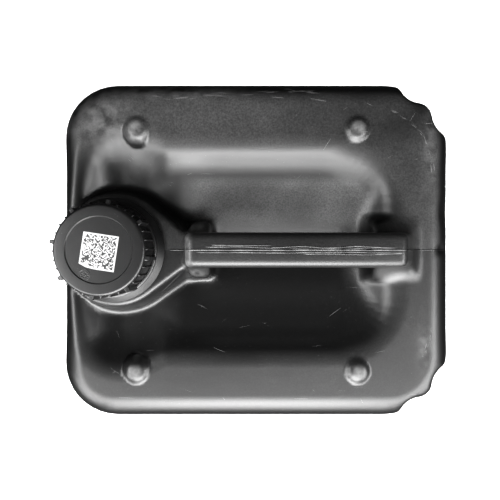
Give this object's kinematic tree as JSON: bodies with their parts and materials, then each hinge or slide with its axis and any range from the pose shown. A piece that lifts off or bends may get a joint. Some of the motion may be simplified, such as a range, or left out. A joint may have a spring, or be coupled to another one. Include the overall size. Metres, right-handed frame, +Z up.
{
  "type": "oil jerrycan",
  "caption": "Stackable blow-moulded plastic can for engine oil, 20 litre class, with a hand recess, a hollow handle, and a screw cap on a neck at the front of the recess.",
  "frame": {"origin": "centre of the footprint, on the plane that the can stands on", "axes": "+X towards the back, away from the neck; +Y across the can; +Z up"},
  "size_m": [0.295, 0.255, 0.36],
  "materials": {
    "can_plastic": "satin, scuffed",
    "ring_plastic": "satin",
    "cap_plastic": "fine grained",
    "liner_foam": "soft foam sheet",
    "label_paper": "printed label film"
  },
  "bodies": {
    "container": {"container": "can_plastic", "tamper_ring": "ring_plastic"},
    "liner": {"cap_liner": "liner_foam"},
    "cap": {"screw_cap": "cap_plastic", "cap_label": "label_paper"}
  },
  "joints": [
    {"name": "cap_rise", "type": "slide", "parent": "container", "child": "liner", "axis": [0, 0, 1], "range_m": [0, 0.03501]},
    {"name": "cap_turn", "type": "hinge", "parent": "liner", "child": "cap", "pos_m": [-0.1044, 0, 0.35], "axis": [0, 0, 1], "range_deg": [0, 2520]}
  ],
  "couplings": [
    {"joint": "cap_rise", "follows": "cap_turn", "m_per_rad": 0.00079577}
  ]
}
